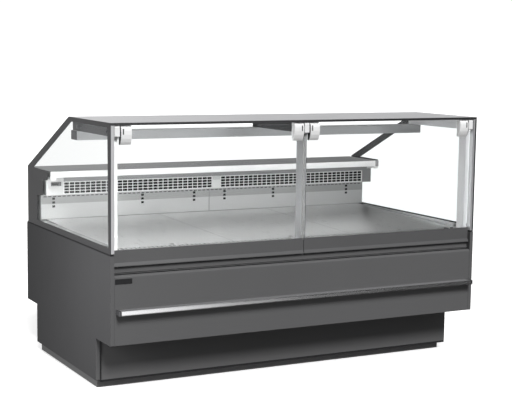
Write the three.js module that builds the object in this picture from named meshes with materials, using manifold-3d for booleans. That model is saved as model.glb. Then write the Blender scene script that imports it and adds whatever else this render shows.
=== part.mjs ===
// Refrigerated serve-over deli case with two lift-up front glass doors and a rear worktop.
// Millimetres. The customer stands at -Y, +X runs to the customer's right, +Z is up.
import * as THREE from 'three';
import { mergeVertices } from 'three/addons/utils/BufferGeometryUtils.js';
import Module from 'manifold-3d';

const wasm = await Module();
wasm.setup();

// ---------------------------------------------------------------- driving dimensions

const gap = 0.4;                        // clearance left between neighbouring pieces

const length = 2020;                    // over the end panels
const bodyDepth = 1224;                 // over the end panels, without the bumper
const height = 1260;
const endX = length / 2;
const frontY = -bodyDepth / 2;
const backY = bodyDepth / 2;
const bumperProud = 48;                 // how far the bumper stands out of the front panel
const depthShift = bumperProud / 2;     // puts the origin under the middle of the whole depth

const endThickness = 20;
const sheet = 2;                        // folded sheet metal
const railHeight = 40;
const plinth = { front: -425, back: 453, bottom: 46, rightEnd: 983 };
const bodyBottom = 248;
const endTop = 669;                     // foot of the glazed ends
const endPanelTop = endTop - 8;         // leaves room for a gasket

const frontPanelTop = 570;
const channel = { face: -586, bottom: 573, top: 603 };
const bumper = { bottom: 394, top: 414, wall: 3, halfLength: 984, capLength: 11 };

const grip = { face: -593, bottom: 609, lipTop: 626, top: 684 };
const doorGlass = { front: -590.3, thickness: 6, top: 1238, edge: 986 };
const doorSplit = 1.5;                  // half the gap between the two doors

const postX = [-974, 0, 974];
const post = { width: 20, front: -583.5, depth: 59, foot: 677 };
const arm = { bottom: 1195, top: 1247.6, back: -60 };
const hinge = { y: -598, z: 1225, pin: 4, clampStart: 18, clampWidth: 51, clampBottom: 1160 };

const canopy = { front: -610, back: -62, bottom: 1248 };
const sideGlass = { inner: 1000, outer: 1007.4 };
const sideBack = 592;                   // rear edge of the glazed ends
const lamp = { front: -135, back: -57, bottom: 1150, top: 1194.6 };

const worktop = { front: 267, bottom: 932, top: 962, halfLength: 987 };
const housing = { front: 345, sheet: 4, back: 544, bottom: 832, halfLength: 985 };
const backWall = { front: 432, thickness: 4, bottom: 698, top: 824.5, seam: -21 };
const grilleTop = 900;
const grilleBottom = 835;
const grilleCell = { width: 28.8, height: 14.4, bar: 3 };

const deck = { front: -485, back: 431.5, frontZ: 675.5, backZ: 696.5, halfLength: 955, seam: 330 };
const returnGrille = { front: -583, back: -491.5, bottom: 672, top: 676.6 };

const tub = { halfLength: 985, wall: 28, frontWall: 30, bottom: 545, floor: 585, front: -575, back: 584 };
const tubRim = 690;

// ---------------------------------------------------------------- shape helpers

function box(x0, x1, y0, y1, z0, z1) {
  const geometry = new THREE.BoxGeometry(x1 - x0, y1 - y0, z1 - z0);
  return geometry.translate((x0 + x1) / 2, (y0 + y1) / 2, (z0 + z1) / 2);
}

function extrude(points, depth) {
  const shape = new THREE.Shape(points.map(([a, b]) => new THREE.Vector2(a, b)));
  return new THREE.ExtrudeGeometry(shape, { depth, bevelEnabled: false });
}

// A prism along X, drawn as [y, z] points.
function prismX(points, x0, x1, holes = []) {
  const turn = new THREE.Matrix4().makeBasis(
    new THREE.Vector3(0, 1, 0),
    new THREE.Vector3(0, 0, 1),
    new THREE.Vector3(1, 0, 0),
  );
  const solid = extrude(points, x1 - x0).applyMatrix4(turn).translate(x0, 0, 0);
  return cut(solid, ...holes.map((hole) => prismX(hole, x0 - 1, x1 + 1)));
}

// A prism along Y, drawn as [x, z] points.
function prismY(points, y0, y1, holes = []) {
  const solid = extrude(points, y1 - y0).rotateX(Math.PI / 2).translate(0, y1, 0);
  return cut(solid, ...holes.map((hole) => prismY(hole, y0 - 1, y1 + 1)));
}

// A prism along Z, drawn as [x, y] points.
function prismZ(points, z0, z1, holes = []) {
  const solid = extrude(points, z1 - z0).translate(0, 0, z0);
  return cut(solid, ...holes.map((hole) => prismZ(hole, z0 - 1, z1 + 1)));
}

function rodX(radius, x0, x1, y, z, sides = 16) {
  const geometry = new THREE.CylinderGeometry(radius, radius, x1 - x0, sides);
  return geometry.rotateZ(-Math.PI / 2).translate((x0 + x1) / 2, y, z);
}

function rodY(radius, y0, y1, x, z, sides = 24) {
  const geometry = new THREE.CylinderGeometry(radius, radius, y1 - y0, sides);
  return geometry.translate(x, (y0 + y1) / 2, z);
}

function rectangle(a0, a1, b0, b1) {
  return [[a0, b0], [a1, b0], [a1, b1], [a0, b1]];
}

function mirrorX(geometry) {
  return fromSolid(toSolid(geometry).mirror([1, 0, 0]));
}

function toSolid(geometry) {
  const bare = geometry.clone();
  bare.deleteAttribute('normal');
  bare.deleteAttribute('uv');
  const merged = mergeVertices(bare, 1e-4);
  return new wasm.Manifold(new wasm.Mesh({
    numProp: 3,
    vertProperties: Float32Array.from(merged.attributes.position.array),
    triVerts: Uint32Array.from(merged.index.array),
  }));
}

function fromSolid(solid) {
  const mesh = solid.getMesh();
  const geometry = new THREE.BufferGeometry();
  geometry.setAttribute('position', new THREE.BufferAttribute(mesh.vertProperties, 3));
  geometry.setIndex(new THREE.BufferAttribute(mesh.triVerts, 1));
  return geometry;
}

function join(...geometries) {
  return fromSolid(wasm.Manifold.union(geometries.map(toSolid)));
}

function cut(body, ...tools) {
  return fromSolid(wasm.Manifold.difference([body, ...tools].map(toSolid)));
}

// ---------------------------------------------------------------- finishes

const finishes = {
  darkPanel: { color: 0x55565a, roughness: 0.45, metalness: 0.3 },
  darkTrim: { color: 0x2c2d30, roughness: 0.5, metalness: 0.2 },
  blackFrame: { color: 0x3b3c40, roughness: 0.25, metalness: 0.1 },
  lightGrey: { color: 0xb4b6b8, roughness: 0.4, metalness: 0.3 },
  white: { color: 0xf2f3f3, roughness: 0.4, metalness: 0 },
  brushedSteel: { color: 0xa9abad, roughness: 0.35, metalness: 0.9 },
  galvanised: { color: 0x9a9da0, roughness: 0.5, metalness: 0.7 },
  glass: { color: 0xd8f2ee, roughness: 0.05, metalness: 0, transparent: true, opacity: 0.25 },
  blackPlastic: { color: 0x1c1d1f, roughness: 0.5, metalness: 0 },
  redPlastic: { color: 0xa3261f, roughness: 0.4, metalness: 0 },
};

const deliCase = new THREE.Group();
deliCase.name = 'refrigerated_deli_case';

function addPart(name, geometry, finish) {
  const placed = (geometry.index ? geometry.toNonIndexed() : geometry).translate(0, depthShift, 0);
  placed.computeVertexNormals();
  const mesh = new THREE.Mesh(placed, new THREE.MeshStandardMaterial(finishes[finish]));
  mesh.name = name;
  deliCase.add(mesh);
}

// The same piece at both ends, drawn for the right-hand (+X) end.
function addPair(name, rightGeometry, finish) {
  addPart(`${name}_left`, mirrorX(rightGeometry), finish);
  addPart(`${name}_right`, rightGeometry, finish);
}

// ---------------------------------------------------------------- base and body

function baseFrame() {
  const left = -987;
  const right = 967;
  const front = -383;
  const back = 449;
  const bar = 40;
  const rails = [
    box(left, right, front, front + bar, 0, railHeight),
    box(left, right, back - bar, back, 0, railHeight),
    box(left, left + bar, front, back, 0, railHeight),
    box(right - bar, right, front, back, 0, railHeight),
    box(-bar / 2, bar / 2, front, back, 0, railHeight),
  ];
  const machineTray = box(left + 1, 0, front + 1, back - 1, railHeight - 4, railHeight);
  const uprights = [];
  for (const x of [left, -bar / 2, right - bar]) {
    for (const y of [front, back - bar]) {
      uprights.push(box(x, x + bar, y, y + bar, 0, tub.bottom - gap));
    }
  }
  return join(...rails, machineTray, ...uprights);
}

// The front kick plate turns the right-hand corner and closes that end of the plinth.
function frontPlinth() {
  const left = -endX + endThickness + gap;
  const plan = [
    [left, plinth.front],
    [plinth.rightEnd, plinth.front],
    [plinth.rightEnd, plinth.back - sheet - gap],
    [plinth.rightEnd - sheet, plinth.back - sheet - gap],
    [plinth.rightEnd - sheet, plinth.front + sheet],
    [left, plinth.front + sheet],
  ];
  return prismZ(plan, plinth.bottom, bodyBottom - gap);
}

// The rear kick plate breathes for the condensing unit behind it.
function rearPlinth() {
  const left = -endX + endThickness + gap;
  const slots = [];
  for (const centre of [-760, -270, 220]) {
    for (let row = 0; row < 7; row += 1) {
      const z = 80 + row * 21;
      slots.push(rectangle(centre - 170, centre + 170, z, z + 9));
    }
  }
  const plate = prismY(
    rectangle(left, plinth.rightEnd, plinth.bottom, bodyBottom - gap),
    plinth.back - sheet,
    plinth.back,
    slots,
  );
  return cut(plate, rodY(9.5, plinth.back - 10, plinth.back + 10, 880, 120));
}

function endPanel(withPlinth) {
  const upper = [
    [backY, bodyBottom],
    [backY, endPanelTop],
    [frontY, endPanelTop],
    [frontY, bodyBottom],
  ];
  const lower = [
    [plinth.front, bodyBottom],
    [plinth.front, plinth.bottom],
    [plinth.back, plinth.bottom],
    [plinth.back, bodyBottom],
  ];
  const profile = withPlinth ? [...upper, ...lower] : upper;
  return prismX(profile, endX - endThickness, endX);
}

// Folded front sheet: rolled top edge, long flange underneath back to the plinth.
function mainFrontPanel() {
  const half = endX - endThickness - gap;
  const roll = 10;
  const bottom = bodyBottom + gap;
  const outer = [];
  const inner = [];
  for (let step = 0; step <= 4; step += 1) {
    const angle = Math.PI - (step / 4) * (Math.PI / 2);
    const y = frontY + roll;
    const z = frontPanelTop - roll;
    outer.push([y + roll * Math.cos(angle), z + roll * Math.sin(angle)]);
    inner.push([y + (roll - sheet) * Math.cos(angle), z + (roll - sheet) * Math.sin(angle)]);
  }
  const profile = [
    [frontY, bottom],
    ...outer,
    [channel.face - 3, frontPanelTop],
    [channel.face - 3, frontPanelTop - sheet],
    ...inner.reverse(),
    [frontY + sheet, bottom + sheet],
    [plinth.front, bottom + sheet],
    [plinth.front, bottom],
  ];
  return prismX(profile, -half, half);
}

// Folded rear sheet, stepped in above the end panels, with the opening for the switch.
function rearPanel() {
  const half = endX - endThickness - gap;
  const bottom = bodyBottom + gap;
  const lowerY = backY - 1;
  const upperY = sideBack - 2;
  const stepZ = endTop - sheet;
  const profile = [
    [plinth.back + 1, bottom],
    [lowerY, bottom],
    [lowerY, stepZ],
    [upperY, stepZ],
    [upperY, worktop.bottom - gap],
    [upperY - sheet, worktop.bottom - gap],
    [upperY - sheet, stepZ - sheet],
    [lowerY - sheet, stepZ - sheet],
    [lowerY - sheet, bottom + sheet],
    [plinth.back + 1, bottom + sheet],
  ];
  const panel = prismX(profile, -half, half);
  const window = box(
    powerSwitch.x - powerSwitch.width / 2 - 1,
    powerSwitch.x + powerSwitch.width / 2 + 1,
    lowerY - 5,
    lowerY + 5,
    powerSwitch.z - powerSwitch.height / 2 - 1.5,
    powerSwitch.z + powerSwitch.height / 2 + 1.5,
  );
  return cut(panel, window);
}

function frontChannel() {
  const half = endX - endThickness - 1;
  const back = channel.face + 4;
  const ridgeZ = 581;
  const profile = [
    [channel.face, channel.bottom],
    [channel.face, ridgeZ - 2],
    [channel.face - 4, ridgeZ - 1],
    [channel.face - 4, ridgeZ + 1],
    [channel.face, ridgeZ + 2],
    [channel.face, channel.top],
    [back, channel.top],
    [back, channel.bottom],
  ];
  return prismX(profile, -half, half);
}

// Channel section, open at the back where it lies against the front panel.
function bumperRail() {
  const half = bumper.halfLength - bumper.capLength - gap;
  const face = frontY - bumperProud;
  const back = frontY - gap;
  const { bottom, top, wall } = bumper;
  const edge = 4;
  const inner = edge + 1;
  return prismX([
    [back, bottom],
    [face + edge, bottom],
    [face, bottom + edge],
    [face, top - edge],
    [face + edge, top],
    [back, top],
    [back, top - wall],
    [face + inner, top - wall],
    [face + wall, top - inner],
    [face + wall, bottom + inner],
    [face + inner, bottom + wall],
    [back, bottom + wall],
  ], -half, half);
}

function bumperCap() {
  const outer = bumper.halfLength;
  const inner = outer - bumper.capLength;
  const face = frontY - bumperProud;
  const plan = [
    [inner, face],
    [outer - 6, face],
    [outer - 2, face + 2],
    [outer, face + 6],
    [outer, frontY - gap],
    [inner, frontY - gap],
  ];
  return prismZ(plan, bumper.bottom - 0.5, bumper.top + 0.5);
}

// ---------------------------------------------------------------- insulated well and air path

// The well is put together from foam-filled slabs: a floor, two long walls and a cheek at each end.
function tubFloor() {
  return box(-tub.halfLength, tub.halfLength, tub.front, tub.back, tub.bottom, tub.floor);
}

function tubFrontWall() {
  const top = returnGrille.bottom - gap;
  return box(-tub.halfLength, tub.halfLength, tub.front, tub.front + tub.frontWall, tub.floor + gap, top);
}

function tubRearWall() {
  const top = worktop.bottom - gap;
  return box(-tub.halfLength, tub.halfLength, housing.back + 1, tub.back, tub.floor + gap, top);
}

// The cheek rises behind the back wall and then forwards, to close the end of the duct.
function tubCheek() {
  const front = tub.front + tub.frontWall + gap;
  const back = housing.back + 1 - gap;
  const foot = tub.floor + gap;
  const ductFront = housing.front + housing.sheet + gap;
  const grilleFoot = returnGrille.bottom - gap;
  return prismX([
    [front, foot],
    [back, foot],
    [back, worktop.bottom - gap],
    [ductFront, worktop.bottom - gap],
    [ductFront, housing.bottom],
    [backWall.front + 8, housing.bottom],
    [backWall.front + 8, tubRim],
    [returnGrille.back + 1, tubRim],
    [returnGrille.back + 1, grilleFoot],
    [front, grilleFoot],
  ], tub.halfLength - tub.wall, tub.halfLength);
}

function deckPlate(x0, x1) {
  const thickness = 3;
  const plate = prismX([
    [deck.front, deck.frontZ - thickness],
    [deck.back, deck.backZ - thickness],
    [deck.back, deck.backZ],
    [deck.front, deck.frontZ],
  ], x0 + gap / 2, x1 - gap / 2);
  const middle = (x0 + x1) / 2;
  const fingerHole = new THREE.CylinderGeometry(12, 12, 60, 16);
  fingerHole.rotateX(Math.PI / 2).translate(middle, deck.front + 22, deck.frontZ);
  return cut(plate, fingerHole);
}

// Slotted strip along the front of the deck that takes the cold air back.
function returnAirGrille() {
  const half = housing.halfLength;
  const pitch = 22;
  const slots = [];
  for (let x = -half + 24; x <= half - 24; x += pitch) {
    const underPost = postX.some((centre) => Math.abs(x - centre) < post.width);
    if (!underPost) {
      slots.push(rectangle(x - 5, x + 5, returnGrille.back - 48, returnGrille.back - 10));
    }
  }
  const outline = rectangle(-half, half, returnGrille.front, returnGrille.back);
  return prismZ(outline, returnGrille.bottom, returnGrille.top, slots);
}

// The wall stops short of the duct above it, which leaves a long slot for a second curtain of cold air.
function backWallPlate(x0, x1, holeColumns) {
  const holes = [];
  for (const x of holeColumns) {
    for (const z of [763, 783.5, 804]) {
      holes.push(rectangle(x - 5, x + 5, z - 3, z + 3));
    }
  }
  const outline = rectangle(x0, x1, backWall.bottom, backWall.top);
  return prismY(outline, backWall.front, backWall.front + backWall.thickness, holes);
}

const leftGrille = { x0: -893, x1: -43 };
const rightGrille = { x0: 6, x1: 925 };
const display = { x0: -962, x1: -906, z0: 879, z1: 900 };

// Upright face of the duct under the worktop, with a window for each grille and one for the thermometer.
function grilleHousing() {
  const half = housing.halfLength;
  const top = worktop.bottom - gap;
  return prismY(
    rectangle(-half, half, housing.bottom, top),
    housing.front,
    housing.front + housing.sheet,
    [
      rectangle(leftGrille.x0, leftGrille.x1, grilleBottom, grilleTop),
      rectangle(rightGrille.x0, rightGrille.x1, grilleBottom, grilleTop),
      rectangle(display.x0, display.x1, display.z0, display.z1),
    ],
  );
}

// Floor of the same duct, from its face back to the wall.
function ductFloor() {
  const half = tub.halfLength - tub.wall - gap;
  const front = housing.front + housing.sheet + gap;
  const back = backWall.front + backWall.thickness;
  return box(-half, half, front, back, housing.bottom, grilleBottom);
}

function airGrille({ x0, x1 }) {
  const edge = 2.5;
  const holes = [];
  const innerWidth = x1 - x0 - 2 * edge;
  const innerHeight = grilleTop - grilleBottom - 2 * edge;
  const columns = Math.round(innerWidth / grilleCell.width);
  const rows = Math.round(innerHeight / grilleCell.height);
  const stepX = innerWidth / columns;
  const stepZ = innerHeight / rows;
  const bar = grilleCell.bar / 2;
  for (let column = 0; column < columns; column += 1) {
    for (let row = 0; row < rows; row += 1) {
      const x = x0 + edge + column * stepX;
      const z = grilleBottom + edge + row * stepZ;
      holes.push(rectangle(x + bar, x + stepX - bar, z + bar, z + stepZ - bar));
    }
  }
  const outline = rectangle(x0 + gap, x1 - gap, grilleBottom + gap, grilleTop - gap);
  return prismY(outline, housing.front + 1, housing.front + 3.5, holes);
}

function worktopSlab() {
  const half = worktop.halfLength;
  return box(-half, half, worktop.front + 5 + gap, sideBack - 2, worktop.bottom, worktop.top);
}

// White nosing with a small bracket under each end.
function worktopStrip() {
  const half = worktop.halfLength;
  const strip = box(-half, half, worktop.front, worktop.front + 5, worktop.bottom - 2, worktop.top - 0.5);
  const bracket = box(960, 985, worktop.front, housing.front - gap, 917, worktop.bottom - gap);
  return join(strip, bracket, mirrorX(bracket));
}

// ---------------------------------------------------------------- uprights, roof and glazed ends

function postWithArm(centre) {
  const half = post.width / 2;
  const profile = [
    [post.front, post.foot],
    [post.front + post.depth, post.foot],
    [post.front + post.depth, arm.bottom],
    [arm.back, arm.bottom],
    [arm.back, arm.top],
    [post.front, arm.top],
  ];
  return prismX(profile, centre - half, centre + half);
}

function lampHousing() {
  const half = endX - endThickness;
  const profile = [
    [lamp.front, lamp.bottom],
    [lamp.front, lamp.top],
    [lamp.back, lamp.top],
    [lamp.back, lamp.bottom],
    [lamp.back - 3, lamp.bottom],
    [lamp.back - 3, lamp.bottom + 12],
    [lamp.front + 3, lamp.bottom + 12],
    [lamp.front + 3, lamp.bottom],
  ];
  return prismX(profile, -half, half);
}

function canopyPlate() {
  const half = sideGlass.outer;
  return box(-half, half, canopy.front, canopy.back, canopy.bottom, height);
}

// The top of each glazed end slopes from the roof's rear edge down to the worktop's rear edge.
const kneeZ = 967;
const slope = (height - kneeZ) / (canopy.back - sideBack);
const slopeYAt = (z) => sideBack + (z - kneeZ) / slope;
const boltSpots = [[-555, 1218], [-180, 1218]];

function glazedEnd() {
  const top = canopy.bottom - gap;
  const front = canopy.front + 4;
  const pane = prismX([
    [sideBack - 2, endTop + gap],
    [sideBack - 2, kneeZ - 2],
    [slopeYAt(top) - 2, top],
    [front, top],
    [front, endTop + gap],
  ], sideGlass.inner, sideGlass.outer);
  const holes = boltSpots.map(([y, z]) => rodX(5.5, sideGlass.inner - 1, endX, y, z));
  return cut(pane, ...holes);
}

// Dark border round the glazed end; at the front it turns the corner as a closing profile.
// `setBack` moves its stepped inner edge rearwards from the ends of the wall, duct and worktop.
function sideFrame(setBack) {
  const bottom = endTop + gap;
  const plate = prismX([
    [sideBack, bottom],
    [sideBack, kneeZ],
    [canopy.back, height],
    [canopy.front, height],
    [canopy.front, bottom],
  ], sideGlass.outer + gap, endX, [[
    [-590, 697.5],
    [434 + setBack, 697.5],
    [431 + setBack, 826],
    [345 + setBack, 835],
    [344 + setBack, 912],
    [worktop.front + setBack, 920],
    [worktop.front + setBack, 965],
    [495, 967],
    [-99, 1238],
    [-579, 1238],
  ]]);
  const inner = endX - endThickness - 0.5;
  const top = canopy.bottom - gap;
  const frontReturn = box(inner, endX, canopy.front, canopy.front + 3.6, bottom, top);
  const innerLeg = box(inner, sideGlass.inner - gap, canopy.front, -585, bottom, top);
  const holes = boltSpots.map(([y, z]) => rodX(9.5, sideGlass.outer, endX + 1, y, z));
  return cut(join(plate, frontReturn, innerLeg), ...holes);
}

// Flush-headed bolt through the glazed end, with its spacer, reaching the arm.
function sideBolt([y, z]) {
  const armFace = postX[2] + post.width / 2 + gap;
  return join(
    rodX(9, sideGlass.outer + gap, endX - 0.2, y, z),
    rodX(5, armFace, endX - 0.5, y, z),
    rodX(8, armFace, sideGlass.inner - gap, y, z),
  );
}

// ---------------------------------------------------------------- front glass doors

// Glass pane with its two upper corners notched round the fixed hinge covers.
function frontGlass() {
  const inner = doorSplit;
  const outer = doorGlass.edge;
  const notchZ = 1188;
  const notch = 16;
  const bottom = 646 + gap;
  return prismY([
    [inner, bottom],
    [outer, bottom],
    [outer, notchZ],
    [postX[2] - notch, notchZ],
    [postX[2] - notch, doorGlass.top],
    [notch, doorGlass.top],
    [notch, notchZ],
    [inner, notchZ],
  ], doorGlass.front, doorGlass.front + doorGlass.thickness);
}

// Extruded profile that holds the lower edge of the glass and ends in a finger lip.
function doorGrip() {
  const back = doorGlass.front + doorGlass.thickness;
  return prismX([
    [grip.face, grip.top],
    [grip.face, grip.lipTop],
    [grip.face - 7, grip.bottom + 4],
    [grip.face - 7, grip.bottom],
    [back + 3.3, grip.bottom],
    [back + 3.3, post.foot - 5],
    [back + 0.3, post.foot - 5],
    [back + 0.3, 646],
    [doorGlass.front - 0.3, 646],
    [doorGlass.front - 0.3, grip.top],
  ], doorSplit, endX - endThickness - 1.5);
}

// Clamp on the glass with the hinge pin that enters the fixed cover.
// `side` is +1 when the clamp lies on the +X side of its post.
function hingeClamp(centre, side) {
  const back = doorGlass.front + doorGlass.thickness;
  const start = centre + side * hinge.clampStart;
  const end = start + side * hinge.clampWidth;
  const profile = [
    [-596, hinge.clampBottom],
    [-603, 1172],
    [-609, 1188],
    [-612, 1206],
    [-612, 1224],
    [-609, 1236],
    [-603, 1244],
    [-597, 1246.5],
    [back + 4, 1246.5],
    [back + 5, 1245],
    [back + 5, hinge.clampBottom],
    [back + 0.3, hinge.clampBottom],
    [back + 0.3, doorGlass.top + 0.3],
    [doorGlass.front - 0.3, doorGlass.top + 0.3],
    [doorGlass.front - 0.3, hinge.clampBottom],
  ];
  const block = prismX(profile, Math.min(start, end), Math.max(start, end));
  const pinEnd = centre + side * 4;
  const pinRoot = start + side * 6;
  const pin = rodX(hinge.pin, Math.min(pinEnd, pinRoot), Math.max(pinEnd, pinRoot), hinge.y, hinge.z);
  return join(block, pin);
}

function hingeCover(centre) {
  const half = 12.5;
  const block = prismX([
    [-605, 1196],
    [-608, 1199],
    [-608, 1238],
    [-606, 1244],
    [-602, 1246.5],
    [post.front - gap, 1246.5],
    [post.front - gap, 1196],
  ], centre - half, centre + half);
  const bore = rodX(hinge.pin + 0.2, centre - half - 1, centre + half + 1, hinge.y, hinge.z);
  return cut(block, bore);
}

// ---------------------------------------------------------------- working parts inside

const fanX = [-480, 480];
const fan = { y: 60, z: 632, radius: 40, hub: 15 };

// Upright plate under the deck with a round mouth and a motor for each fan.
function fanPanel() {
  const half = tub.halfLength - tub.wall - 1;
  const thickness = 3;
  const outline = rectangle(-half, half, tub.floor + gap, 680);
  const mouths = fanX.map((x) => rodY(fan.radius + 3, fan.y - 5, fan.y + 8, x, fan.z));
  let panel = cut(prismY(outline, fan.y, fan.y + thickness), ...mouths);
  for (const x of fanX) {
    const motor = rodY(fan.hub, fan.y + 2, fan.y + 28, x, fan.z, 16);
    const reach = fan.radius + 8;
    const spokeAcross = box(x - reach, x + reach, fan.y + thickness - 1, fan.y + 8, fan.z - 3, fan.z + 3);
    const spokeUp = box(x - 3, x + 3, fan.y + thickness - 1, fan.y + 8, fan.z - 44, fan.z + 44);
    panel = join(panel, motor, spokeAcross, spokeUp);
  }
  return panel;
}

// Axial rotor: hub and pitched blades, turning about the Y line through (x, z).
function fanRotor(x, y, z, radius, hub, bladeCount) {
  const depth = radius * 0.45;
  const parts = [rodY(hub, y, y + depth, 0, 0, 16)];
  for (let blade = 0; blade < bladeCount; blade += 1) {
    const vane = new THREE.BoxGeometry(radius * 0.62, 1.6, radius - hub + 3);
    vane.rotateZ(Math.PI / 5);
    vane.translate(0, y + depth / 2, (radius + hub - 3) / 2);
    vane.rotateY((blade / bladeCount) * 2 * Math.PI);
    parts.push(vane);
  }
  return join(...parts).translate(x, 0, z);
}

const coil = { half: 830, front: 170, back: 400, top: 668, fin: 2 };

// Finned block lying behind the fans.
function evaporatorCoil() {
  const core = box(-coil.half, coil.half, coil.front + 10, coil.back - 10, 596, coil.top - 8);
  const plates = [];
  const count = 24;
  for (let index = 0; index <= count; index += 1) {
    const x = -coil.half + (index / count) * 2 * coil.half;
    plates.push(box(x - coil.fin, x + coil.fin, coil.front, coil.back, tub.floor + gap, coil.top));
  }
  return join(core, ...plates);
}

// The fan plate and the coil, held together by a side plate at each end.
function evaporatorUnit() {
  const sidePlate = box(
    coil.half - coil.fin,
    coil.half + coil.fin,
    fan.y + 1,
    coil.front + 1,
    tub.floor + gap,
    coil.top,
  );
  return join(fanPanel(), evaporatorCoil(), sidePlate, mirrorX(sidePlate));
}

function compressor() {
  const profile = [
    [0, 0], [70, 0], [78, 12], [82, 40], [82, 110], [76, 138], [56, 160], [24, 172], [0, 174],
  ];
  const shell = new THREE.LatheGeometry(profile.map(([r, z]) => new THREE.Vector2(r, z)), 24);
  shell.rotateX(Math.PI / 2).translate(-640, 90, railHeight + 22);
  const plate = box(-740, -540, -10, 190, railHeight + 16, railHeight + 26);
  const feet = [];
  for (const x of [-725, -555]) {
    for (const y of [5, 175]) {
      const foot = new THREE.CylinderGeometry(11, 13, 20, 12);
      feet.push(foot.rotateX(Math.PI / 2).translate(x, y, railHeight + gap + 10));
    }
  }
  return join(shell, plate, ...feet);
}

const condenserFan = { x: -270, y: 300, z: 150, radius: 82, hub: 26 };

// Finned block with its fan ring and motor, drawing air in through the rear plinth.
function condenserUnit() {
  const { x, y, z, radius, hub } = condenserFan;
  const bottom = railHeight + gap;
  const top = 260;
  const half = 150;
  const shroudY = y + 42;
  const core = box(x - half + 8, x + half - 8, shroudY + 14, shroudY + 48, bottom + 6, top - 6);
  const plates = [];
  for (let index = 0; index <= 12; index += 1) {
    const finX = x - half + 2 + (index / 12) * (2 * half - 4);
    plates.push(box(finX - 2, finX + 2, shroudY + 3, shroudY + 52, bottom, top));
  }
  const face = prismY(rectangle(x - half, x + half, bottom, top), shroudY, shroudY + 4);
  const mouth = rodY(radius + 5, shroudY - 5, shroudY + 10, x, z);
  const motor = rodY(hub, shroudY - 2, shroudY + 20, x, z, 16);
  const spoke = box(x - radius - 9, x + radius + 9, shroudY + 1, shroudY + 8, z - 5, z + 5);
  return join(cut(face, mouth), core, ...plates, motor, spoke);
}

const powerSwitch = { x: 850, z: 610, width: 13, height: 20 };

function switchRocker() {
  const { x, z, width, height: tall } = powerSwitch;
  const face = backY - 1;
  return prismX([
    [face - 8, z - tall / 2],
    [face + 0.8, z - tall / 2],
    [face - 0.6, z],
    [face + 0.8, z + tall / 2],
    [face - 8, z + tall / 2],
  ], x - width / 2, x + width / 2);
}

function cableGland() {
  const body = rodY(9, plinth.back - 18, plinth.back + 4, 880, 120, 20);
  const flange = rodY(14, plinth.back + gap, plinth.back + 7, 880, 120, 6);
  const dome = rodY(10.5, plinth.back + 6, plinth.back + 17, 880, 120, 20);
  const cordHole = rodY(4.5, plinth.back - 20, plinth.back + 20, 880, 120, 12);
  return cut(join(body, flange, dome), cordHole);
}

// ---------------------------------------------------------------- assembly

addPart('base_frame', baseFrame(), 'darkPanel');
addPart('plinth_front', frontPlinth(), 'darkPanel');
addPart('plinth_rear', rearPlinth(), 'darkPanel');
addPart('end_panel_left', mirrorX(endPanel(true)), 'darkPanel');
addPart('end_panel_right', endPanel(false), 'darkPanel');
addPart('main_front_panel', mainFrontPanel(), 'darkPanel');
addPart('rear_panel', rearPanel(), 'darkPanel');
addPart('front_channel', frontChannel(), 'darkPanel');
addPart('bumper_rail', bumperRail(), 'brushedSteel');
addPair('bumper_cap', bumperCap(), 'darkTrim');

addPart('tub_floor', tubFloor(), 'lightGrey');
addPart('tub_front_wall', tubFrontWall(), 'lightGrey');
addPart('tub_rear_wall', tubRearWall(), 'lightGrey');
addPair('tub_cheek', tubCheek(), 'lightGrey');
addPart('deck_plate_left', deckPlate(-deck.halfLength, -deck.seam), 'brushedSteel');
addPart('deck_plate_middle', deckPlate(-deck.seam, deck.seam), 'brushedSteel');
addPart('deck_plate_right', deckPlate(deck.seam, deck.halfLength), 'brushedSteel');
addPart('return_air_grille', returnAirGrille(), 'brushedSteel');
addPart('back_wall_left', backWallPlate(-985, backWall.seam - gap, [-918, -421, -113]), 'white');
addPart('back_wall_right', backWallPlate(backWall.seam + gap, 985, [74, 383, 872]), 'white');
addPart('grille_housing', grilleHousing(), 'white');
addPart('duct_floor', ductFloor(), 'white');
addPart('air_grille_left', airGrille(leftGrille), 'lightGrey');
addPart('air_grille_right', airGrille(rightGrille), 'lightGrey');
addPart('worktop', worktopSlab(), 'lightGrey');
addPart('worktop_strip', worktopStrip(), 'white');

addPart('post_left', postWithArm(postX[0]), 'brushedSteel');
addPart('post_middle', postWithArm(postX[1]), 'brushedSteel');
addPart('post_right', postWithArm(postX[2]), 'brushedSteel');
addPart('lamp_housing', lampHousing(), 'brushedSteel');
addPart('canopy', canopyPlate(), 'lightGrey');
addPair('side_glass', glazedEnd(), 'glass');
addPart('side_frame_left', mirrorX(sideFrame(0)), 'blackFrame');
addPart('side_frame_right', sideFrame(36), 'blackFrame');
addPair('side_bolt_front', sideBolt(boltSpots[0]), 'brushedSteel');
addPair('side_bolt_rear', sideBolt(boltSpots[1]), 'brushedSteel');

addPair('front_glass', frontGlass(), 'glass');
addPair('door_grip', doorGrip(), 'darkPanel');
addPart('hinge_clamp_1', hingeClamp(postX[0], 1), 'white');
addPart('hinge_clamp_2', hingeClamp(postX[1], -1), 'white');
addPart('hinge_clamp_3', hingeClamp(postX[1], 1), 'white');
addPart('hinge_clamp_4', hingeClamp(postX[2], -1), 'white');
addPart('hinge_cover_left', hingeCover(postX[0]), 'white');
addPart('hinge_cover_middle', hingeCover(postX[1]), 'white');
addPart('hinge_cover_right', hingeCover(postX[2]), 'white');

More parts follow.
